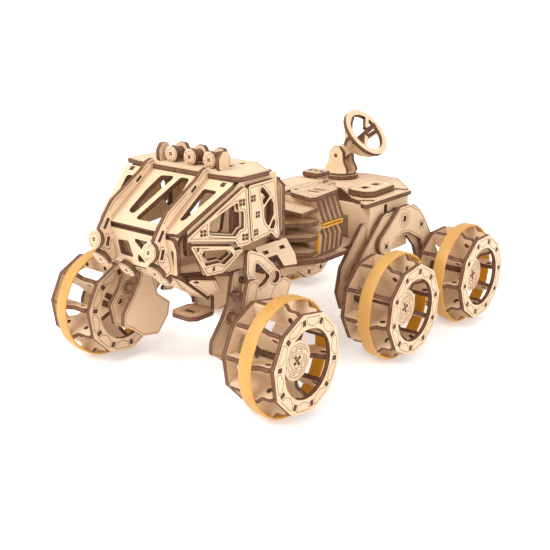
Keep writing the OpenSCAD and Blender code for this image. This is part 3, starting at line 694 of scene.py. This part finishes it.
def outer_plane(node, toward):
    """A point and the normal of the sheet face that lies furthest out in a direction."""
    best = None
    for normal, loops in DRESSED[node]:
        if not loops or normal.dot(toward) < 0.7:
            continue
        reach = max(p.dot(toward) for loop in loops for p in loop)
        size = max((p - loops[0][0]).length for p in loops[0])
        if size > LEAST_PANEL and (best is None or reach > best[0] + 0.0002):
            best = (reach, loops[0][0], normal)
    return best[1], best[2]


def on_plane(plane, x, z):
    """The point of the plane at a place given by x and z, which is found by moving along Y."""
    origin, normal = plane
    point = at(x, 0, z)
    away = (point.x - origin.x) * normal.x + (point.z - origin.z) * normal.z
    point.y = origin.y - away / normal.y
    return point


def tab_block(bm, centre, normal, up, count, pitch, size):
    """Tab ends in a square block, count by count."""
    side = up.cross(normal).normalized()
    rise = normal.cross(side)
    for i in range(count):
        for k in range(count):
            over = side * ((i - (count - 1) / 2) * pitch * MM)
            shift = over + rise * ((k - (count - 1) / 2) * pitch * MM)
            block(bm, centre + shift, side, rise, size, size)


def side_x(s):
    """Place along the flared cab side, from its front corner, as a distance forward."""
    return SIDE_FRONT - s * math.cos(FLARE)


blocks = {
    "window_panel": [(side_x(34.7), 88.2), (side_x(9.1), 73.3), (side_x(36.5), 67.2)],
    "rear_side_panel": [(-11.3, 88.3), (-15.2, 77.8), (-13.5, 67.1)],
    "lower_side_panel": [(side_x(6.6), 63.9), (side_x(19.2), 49.8)],
}
for panel, places in blocks.items():
    for side, out in OUTWARDS.items():
        node = f"{panel}_{side}"
        plane = outer_plane(node, out)
        bm = bmesh.new()
        for x, z in places:
            point = on_plane(plane, x, z)
            if panel == "lower_side_panel":
                block(bm, point, FORWARD, plane[1].cross(FORWARD), 3.0, 2.6)
            else:
                tab_block(bm, point, plane[1], UP, **PANEL_TAB)
        finish_mesh(node + "_tabs", bm, TAB, BODY_OF[node])
print("tab ends on", len(blocks) * 2, "panels")

# %% [markdown]
# Every lamp is a stack of round sheets. Its front is engraved with two broken rings, and the square pin
# that holds the stack shows at the centre. The lamps are found by their shape: a face whose outline
# keeps one distance from its middle is a disc.

# %% Lamp fronts
ROUND_WITHIN = 0.2 * MM
LAMP_PIN = {"count": 2, "pitch": 1.25, "size": 1.05}


def disc_of(loops):
    """Centre and radius, in metres, of a face with one round outline, or None."""
    if len(loops) != 1 or len(loops[0]) < 16:
        return None
    middle = sum(loops[0], Vector()) / len(loops[0])
    away = [(p - middle).length for p in loops[0]]
    if max(away) - min(away) > ROUND_WITHIN:
        return None
    return middle, sum(away) / len(away)


def arc(bm, centre, across, rise, radius, first, last, normal):
    """An engraved arc from one angle to another, in degrees."""
    count = max(3, int(abs(last - first) / 14))
    angles = [math.radians(first + (last - first) * k / count) for k in range(count + 1)]
    points = [
        centre + across * (radius * math.cos(a)) + rise * (radius * math.sin(a)) for a in angles
    ]
    ribbon(bm, points, normal, FINE_LINE_W, closed=False)


discs = 0
for node in ("roof_lamps", "nose_lamps"):
    lines = bmesh.new()
    pins = bmesh.new()
    for normal, loops in DRESSED[node]:
        disc = disc_of(loops)
        if not disc or normal.x < 0.15:
            continue
        middle, radius = disc
        rise = normal.cross(LEFT).normalized()
        for first in range(0, 360, 60):
            arc(lines, middle, LEFT, rise, radius * 0.80, first, first + 44, normal)
            arc(lines, middle, LEFT, rise, radius * 0.58, first + 30, first + 76, normal)
        tab_block(pins, middle, normal, UP, **LAMP_PIN)
        discs += 1
    finish_mesh(node + "_engraving", lines, LINE, BODY_OF[node])
    finish_mesh(node + "_pins", pins, TAB, BODY_OF[node])
print("lamp fronts:", discs)

# %% [markdown]
# The decks are engraved like tiled plating. A grid line is drawn only where it lies on wood, so each
# line is walked in small steps, and a step counts when it is inside the outline and clear of it.

# %% Engraved grids
GRID_STEP = 0.8
GRID_CLEAR = 2.2


def inside(point, loops, u, v):
    """Whether a point lies on the sheet, by counting how many outline edges a ray crosses."""
    odd = False
    px, py = point.dot(u), point.dot(v)
    for loop in loops:
        for i, a in enumerate(loop):
            b = loop[(i + 1) % len(loop)]
            ax, ay, bx, by = a.dot(u), a.dot(v), b.dot(u), b.dot(v)
            if (ay > py) != (by > py) and px < ax + (py - ay) * (bx - ax) / (by - ay):
                odd = not odd
    return odd


def grid(bm, loops, normal, u, pitch):
    """Engraves two crossing rows of lines on a face, and tells how many it drew."""
    v = normal.cross(u).normalized()
    origin = loops[0][0] - u * loops[0][0].dot(u) - v * loops[0][0].dot(v)
    drawn = 0
    for along, over in ((u, v), (v, u)):
        lo = min(p.dot(over) for loop in loops for p in loop)
        hi = max(p.dot(over) for loop in loops for p in loop)
        first = min(p.dot(along) for loop in loops for p in loop)
        last = max(p.dot(along) for loop in loops for p in loop)
        rows = int((hi - lo) / (pitch * MM))
        for r in range(1, rows + 1):
            height = lo + (hi - lo) * r / (rows + 1)
            run = []
            steps = int((last - first) / (GRID_STEP * MM))
            for k in range(steps + 2):
                point = origin + along * (first + k * GRID_STEP * MM) + over * height
                on_wood = k <= steps and inside(point, loops, u, v)
                if on_wood and gap_to(point, loops) > GRID_CLEAR:
                    run.append(point)
                    continue
                if len(run) > 3:
                    ribbon(bm, [run[0], run[-1]], normal, FINE_LINE_W, closed=False)
                    drawn += 1
                run = []
    return drawn


for node, pitch in (("deck_panels", 3.6), ("sample_box", 4.5)):
    bm = bmesh.new()
    total = 0
    for normal, loops in DRESSED[node]:
        if normal.z > 0.95 and loops:
            total += grid(bm, loops, normal, FORWARD, pitch)
    print(node, "grid lines:", total)
    finish_mesh(node + "_grid", bm, LINE, BODY_OF[node])

# %% [markdown]
# Pivots are engraved with a ring round a square pin, and the tops carry the ends of the tabs that hold
# them. These are single pieces, so their places are simply listed.

# %% Pivots and tab ends on the rest
PIVOT_SIDES = 28
PIVOT_LINE_W = 0.32


def pivot(lines, pins, centre, normal, radius, pin):
    """Two engraved rings and, where pin isn't 0, the end of a square pin of that size."""
    side = UP.cross(normal).normalized()
    rise = normal.cross(side)
    for share in (1.0, 0.72):
        points = [
            centre + side * (radius * share * MM * math.cos(math.tau * k / PIVOT_SIDES))
            + rise * (radius * share * MM * math.sin(math.tau * k / PIVOT_SIDES))
            for k in range(PIVOT_SIDES)
        ]
        ribbon(lines, points, normal, PIVOT_LINE_W)
    if pin:
        block(pins, centre, side, rise, pin, pin)


for side, out in OUTWARDS.items():
    for node, x, z, radius, pin in (
        (f"front_rocker_{side}", -30.2, 35.4, 5.2, 0),
        (f"bogie_{side}", -169, 45.7, 6.6, 0),
        (f"bogie_{side}", -212, -3, 5.4, 3.0),
    ):
        lines = bmesh.new()
        pins = bmesh.new()
        plane = outer_plane(node, out)
        centre = on_plane(plane, x, z)
        pivot(lines, pins, centre, plane[1], radius, pin)
        name = f"{node}_pivot_{abs(int(x))}"
        finish_mesh(name, lines, LINE, BODY_OF[node])
        if pin:
            finish_mesh(name + "_pin", pins, TAB, BODY_OF[node])
        else:
            pins.free()
print("pivots engraved")


def top_tabs(node, places, length, width):
    """Tab ends in the top face of a node, at places given by x, y and a turn in degrees."""
    plane = outer_plane(node, UP)
    bm = bmesh.new()
    for x, y, turn in places:
        point = at(x, y, 0)
        point.z = plane[0].z
        way = Vector((math.cos(math.radians(turn)), math.sin(math.radians(turn)), 0))
        block(bm, point, way, UP.cross(way), length, width)
    finish_mesh(node + "_top_tabs", bm, TAB, BODY_OF[node])


ROOF_TABS = [
    (-20, 21, 0), (-31, 21, 0), (-20, -21, 0), (-31, -21, 0), (-26, 6, 90), (-26, -6, 90),
]
top_tabs("rear_hatch", [(-160, 27, 90), (-170, 27, 90)], 4.6, 3.0)
top_tabs("roof_panel", ROOF_TABS, 4.0, 3.0)
top_tabs("sample_box", [(-135, 5, 0), (-135, -5, 0)], 5.0, 2.6)
bm = bmesh.new()
slope = (at(40, 0, 74) - at(2, 0, 101)).normalized()
for y in (-38.2, 38.2):
    point = at(2, y, 101) + slope * 4.7 * MM
    block(bm, point, slope, LEFT, 3.4, 3.4)
finish_mesh("windshield_tabs", bm, TAB, BODY_OF["windshield_frame"])
print("tab ends on the roof, hatch, sample box and windshield")

# %% [markdown]
# A wheel repeats one tenth of itself: an engraved cell between two tab ends. Geometry Nodes turns
# that tenth round the axle. The tree takes the tenth, how many there are, the turn of the first and
# a material, and it ends in real geometry, because instances are dropped when a model is exported.

# %% A tree that turns a piece round an axis
def turning_tree():
    """Repeats a tenth of a wheel round Z, as real geometry in one material."""
    tree = bpy.data.node_groups.new("turn_round", "GeometryNodeTree")
    face = tree.interface
    face.new_socket("Geometry", in_out="OUTPUT", socket_type="NodeSocketGeometry")
    face.new_socket("Tenth", in_out="INPUT", socket_type="NodeSocketGeometry")
    face.new_socket("Count", in_out="INPUT", socket_type="NodeSocketInt")
    face.new_socket("Turn", in_out="INPUT", socket_type="NodeSocketFloat")
    face.new_socket("Material", in_out="INPUT", socket_type="NodeSocketMaterial")
    start = tree.nodes.new("NodeGroupInput")
    end = tree.nodes.new("NodeGroupOutput")
    points = tree.nodes.new("GeometryNodePoints")
    index = tree.nodes.new("GeometryNodeInputIndex")
    share = tree.nodes.new("ShaderNodeMath")
    share.operation = "DIVIDE"
    angle = tree.nodes.new("ShaderNodeMath")
    angle.operation = "MULTIPLY_ADD"
    angle.inputs[1].default_value = math.tau
    spin = tree.nodes.new("ShaderNodeCombineXYZ")
    place = tree.nodes.new("GeometryNodeInstanceOnPoints")
    real = tree.nodes.new("GeometryNodeRealizeInstances")
    paint = tree.nodes.new("GeometryNodeSetMaterial")
    link = tree.links.new
    link(start.outputs["Count"], points.inputs["Count"])
    link(index.outputs[0], share.inputs[0])
    link(start.outputs["Count"], share.inputs[1])
    link(share.outputs[0], angle.inputs[0])
    link(start.outputs["Turn"], angle.inputs[2])
    link(angle.outputs[0], spin.inputs["Z"])
    link(points.outputs[0], place.inputs["Points"])
    link(start.outputs["Tenth"], place.inputs["Instance"])
    link(spin.outputs[0], place.inputs["Rotation"])
    link(place.outputs[0], real.inputs[0])
    link(real.outputs[0], paint.inputs["Geometry"])
    link(start.outputs["Material"], paint.inputs["Material"])
    link(paint.outputs[0], end.inputs[0])
    return tree


TURN_ROUND = turning_tree()


def turned(bm, count, turn, material):
    """A bmesh repeated round its own Z axis by the tree, as a plain mesh."""
    source = bpy.data.meshes.new("tenth")
    bmesh.ops.recalc_face_normals(bm, faces=bm.faces)
    bm.to_mesh(source)
    bm.free()
    source.materials.append(material)
    obj = bpy.data.objects.new("tenth", source)
    bpy.context.scene.collection.objects.link(obj)
    mod = obj.modifiers.new("turn", "NODES")
    mod.node_group = TURN_ROUND
    ids = {s.name: s.identifier for s in TURN_ROUND.interface.items_tree if s.in_out == "INPUT"}
    mod[ids["Count"]] = count
    mod[ids["Turn"]] = turn
    mod[ids["Material"]] = material
    graph = bpy.context.evaluated_depsgraph_get()
    mesh = bpy.data.meshes.new_from_object(obj.evaluated_get(graph))
    bpy.data.objects.remove(obj)
    return mesh


print("tree inputs:", [s.name for s in TURN_ROUND.interface.items_tree if s.in_out == "INPUT"])

# %% [markdown]
# The ten-sided ring has a cell on each side: a trapezium with round corners and, on its inner edge, a
# dip that clears the opening. A slat's tab ends in the ring inside each of its corners, which shows as
# a burnt square. The wheels of each row have rolled by a different angle, which is given in degrees.

# %% Ring cells and tab ends
RING_R = 31.5
OPEN_R = 21.5
TAB_R = 26.2
SLATS = 10
TENTH = math.tau / SLATS
PHASE = {"front": 26.5, "middle": 9.1, "rear": 2.1}
TRACK = 96.7
RING_IN = 60.7


def polar(radius, angle, height):
    """A point of a wheel in metres, from millimetres out of its axle and along it."""
    return Vector((radius * math.cos(angle), radius * math.sin(angle), height)) * MM


def rounded(points, radius, steps=3):
    """Round the corners of a closed outline: every corner becomes a short curve."""
    result = []
    count = len(points)
    for i, corner in enumerate(points):
        before = points[i - 1] - corner
        after = points[(i + 1) % count] - corner
        reach = min(radius * MM, before.length * 0.45, after.length * 0.45)
        a = corner + before.normalized() * reach
        b = corner + after.normalized() * reach
        for k in range(steps + 1):
            t = k / steps
            result.append(a * (1 - t) ** 2 + corner * (2 * t * (1 - t)) + b * t**2)
    return result


def cell(height):
    """The engraved cell on the ring's side, in the middle of one tenth."""
    side = RING_R * math.cos(TENTH / 2)
    mid = TENTH / 2
    out = side - 1.7
    low = OPEN_R + 1.6
    spread_out = math.atan2(6.4, out)
    spread_low = math.atan2(4.1, low)
    outer = out / math.cos(spread_out)
    points = [
        polar(outer, mid - spread_out, height),
        polar(outer, mid + spread_out, height),
        polar(low + 1.9, mid + spread_low + 0.035, height),
        polar(low + 1.1, mid + spread_low - 0.05, height),
        polar(low, mid + 0.075, height),
        polar(low, mid - 0.075, height),
        polar(low + 1.1, mid - spread_low + 0.05, height),
        polar(low + 1.9, mid - spread_low - 0.035, height),
    ]
    return rounded(points, 0.9)


def wheel_place(body):
    """The wheel's own axes in the model: local Z points outwards along the axle."""
    flip = -1 if body.endswith("right_wheel") else 1
    hub = ROLL[body]
    return Matrix(((1, 0, 0, hub.x), (0, 0, flip, 0), (0, -1, 0, hub.z), (0, 0, 0, 1)))


def wheel_turn(body):
    return math.radians(PHASE[body.split("_")[0]])


def place_mesh(mesh, matrix):
    """Moves a mesh, and turns its faces out again where the move mirrors it."""
    mesh.transform(matrix)
    if matrix.determinant() < 0:
        mesh.flip_normals()


for body in sorted(ROLL):
    place = wheel_place(body)
    turn = wheel_turn(body)
    lines = bmesh.new()
    ribbon(lines, cell(TRACK), UP, LINE_W)
    ribbon(lines, cell(RING_IN - PLY), DOWN, LINE_W)
    mesh = turned(lines, SLATS, turn, LINE)
    place_mesh(mesh, place)
    obj = add_object(body + "_ring_cells", mesh, body)
    tabs = bmesh.new()
    for height in (TRACK, TRACK - PLY, RING_IN, RING_IN - PLY):
        block(tabs, polar(TAB_R, 0, height), FORWARD, LEFT, 3.8, 3.0)
    mesh = turned(tabs, SLATS, turn, TAB)
    place_mesh(mesh, place)
    obj = add_object(body + "_tab_ends", mesh, body)
print("ring cells on", len(ROLL), "wheels")

# %% [markdown]
# The hub disc is engraved with broken rings, like a maze, round five burnt squares.

# %% Hub maze
HUB_FACE = 88.7
maze = [
    (4.6, 20, 150), (4.6, 190, 330), (6.0, -30, 60), (6.0, 90, 210), (6.0, 235, 300),
    (7.4, 10, 100), (7.4, 130, 175), (7.4, 200, 345), (8.8, -20, 45), (8.8, 70, 160),
    (8.8, 185, 250), (8.8, 275, 320), (10.2, 15, 140), (10.2, 165, 290), (10.2, 310, 350),
]
bars = [
    (4.6, 6.0, 60), (6.0, 7.4, 100), (7.4, 8.8, 45), (8.8, 10.2, 140),
    (6.0, 7.4, 210), (7.4, 8.8, 250), (8.8, 10.2, 310), (4.6, 6.0, 300),
]
HUB_LINE_W = 0.34
HUB_SQUARE = 2.2


def hub_lines(bm):
    """The maze's broken rings, given as radius, first and last angle, and the bars between them."""
    for radius, first, last in maze:
        count = max(4, int((last - first) / 12))
        angles = [math.radians(first + (last - first) * k / count) for k in range(count + 1)]
        ribbon(bm, [polar(radius, a, HUB_FACE) for a in angles], UP, HUB_LINE_W, closed=False)
    for low, high, angle in bars:
        a = math.radians(angle)
        ends = [polar(low, a, HUB_FACE), polar(high, a, HUB_FACE)]
        ribbon(bm, ends, UP, HUB_LINE_W, closed=False)


for body in sorted(ROLL):
    place = wheel_place(body) @ Matrix.Rotation(wheel_turn(body), 4, "Z")
    bm = bmesh.new()
    hub_lines(bm)
    bm.transform(place)
    finish_mesh(body + "_hub_maze", bm, LINE, body)
    bm = bmesh.new()
    for x, y in [(0, 0), (2.5, 0.3), (-2.5, -0.3), (-0.3, 2.5), (0.3, -2.5)]:
        block(bm, Vector((x, y, HUB_FACE)) * MM, FORWARD, LEFT, HUB_SQUARE, HUB_SQUARE)
    bm.transform(place)
    finish_mesh(body + "_hub_squares", bm, TAB, body)
print("hub mazes:", len(ROLL))

# %% [markdown]
# An elastic band stretched over ten slats is neither a circle nor a ten-sided ring: it is tight over
# each slat and sinks a little between them. The band is turned here from a rounded section, and its
# radius follows that wave.

# %% Tyre bands
low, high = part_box("tyre_front_left")
BAND_T = 1.3
BAND_W = (high[1] - low[1]) / MM
BAND_MID = (high[1] + low[1]) / 2 / MM
SLAT_TIP = (high[2] - low[2]) / 2 / MM - BAND_T
SINK = 0.3
CROWN = 0.12
CORNER = 0.4
BAND_STEPS = 160
print("band", round(BAND_W, 2), "wide, centred at", round(BAND_MID, 2))
print("slats reach", round(SLAT_TIP, 2))


def band_section():
    """Corners of the band's section as (radius above the slats, distance along the axle)."""
    edge = BAND_W / 2 - CORNER
    top = BAND_T - CORNER
    section = []
    for cx, cy, start in ((top, edge, 0), (CORNER, edge, 90), (CORNER, -edge, 180), (top, -edge, 270)):
        for k in range(4):
            a = math.radians(start + 30 * k)
            section.append((cx + CORNER * math.cos(a), cy + CORNER * math.sin(a)))
    return section


SECTION = band_section()


def tyre_mesh(turn):
    """A band that sinks between the slats, with a slight crown on its outside."""
    bm = bmesh.new()
    rings = []
    for i in range(BAND_STEPS):
        angle = math.tau * i / BAND_STEPS
        wave = 0.5 - 0.5 * math.cos((angle - turn) * SLATS)
        ring = []
        for out, along in SECTION:
            crown = CROWN * (1 - (2 * along / BAND_W) ** 2) if out > BAND_T / 2 else 0.0
            radius = SLAT_TIP + out - SINK * wave - CROWN + crown
            ring.append(bm.verts.new(polar(radius, angle, BAND_MID + along)))
        rings.append(ring)
    for i in range(BAND_STEPS):
        a = rings[i]
        b = rings[(i + 1) % BAND_STEPS]
        for k in range(len(a)):
            m = (k + 1) % len(a)
            face = bm.faces.new((a[k], a[m], b[m], b[k]))
            outward = SECTION[k][0] + SECTION[m][0] > BAND_T
            face.material_index = 0 if outward else 1
            face.smooth = True
    bmesh.ops.recalc_face_normals(bm, faces=bm.faces)
    mesh = bpy.data.meshes.new("tyre_band")
    bm.to_mesh(mesh)
    bm.free()
    mesh.materials.append(BAND_OUT)
    mesh.materials.append(AMBER_PAINTED_GLOW)
    return mesh


for body in sorted(ROLL):
    row, side = body.split("_")[:2]
    mesh = tyre_mesh(wheel_turn(body))
    place_mesh(mesh, wheel_place(body))
    obj = add_object(body + "_tyre_band", mesh, body)
    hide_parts(f"tyre_{row}_{side}")
print("tyre bands:", len(ROLL))

# %% [markdown]
# The rubber bands of the motor are cut from the same amber rubber, with square sections. Their CAD
# solids already have the right run, so a copy gets softened edges and the inside rubber finish, whose yellower
# colour and glow are painted light all over the band.

# %% Motor bands
SOFT_EDGE = 0.25 * MM
CREASE = 0.5
bm = merged("motor_bands")
for face in bm.faces:
    face.smooth = False
creases = [e for e in bm.edges if e.calc_face_angle(0) > CREASE]
bmesh.ops.bevel(bm, geom=creases, offset=SOFT_EDGE, segments=2, affect="EDGES")
mesh = bpy.data.meshes.new("motor_bands_rubber")
bm.to_mesh(mesh)
bm.free()
# Painted light: the whole band wears the inside finish's yellower colour and its glow.
mesh.materials.append(AMBER_PAINTED_GLOW)
obj = add_object("motor_bands_rubber", mesh, BODY_OF["motor_bands"])
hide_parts("motor_bands")
print("motor band creases softened:", len(creases))
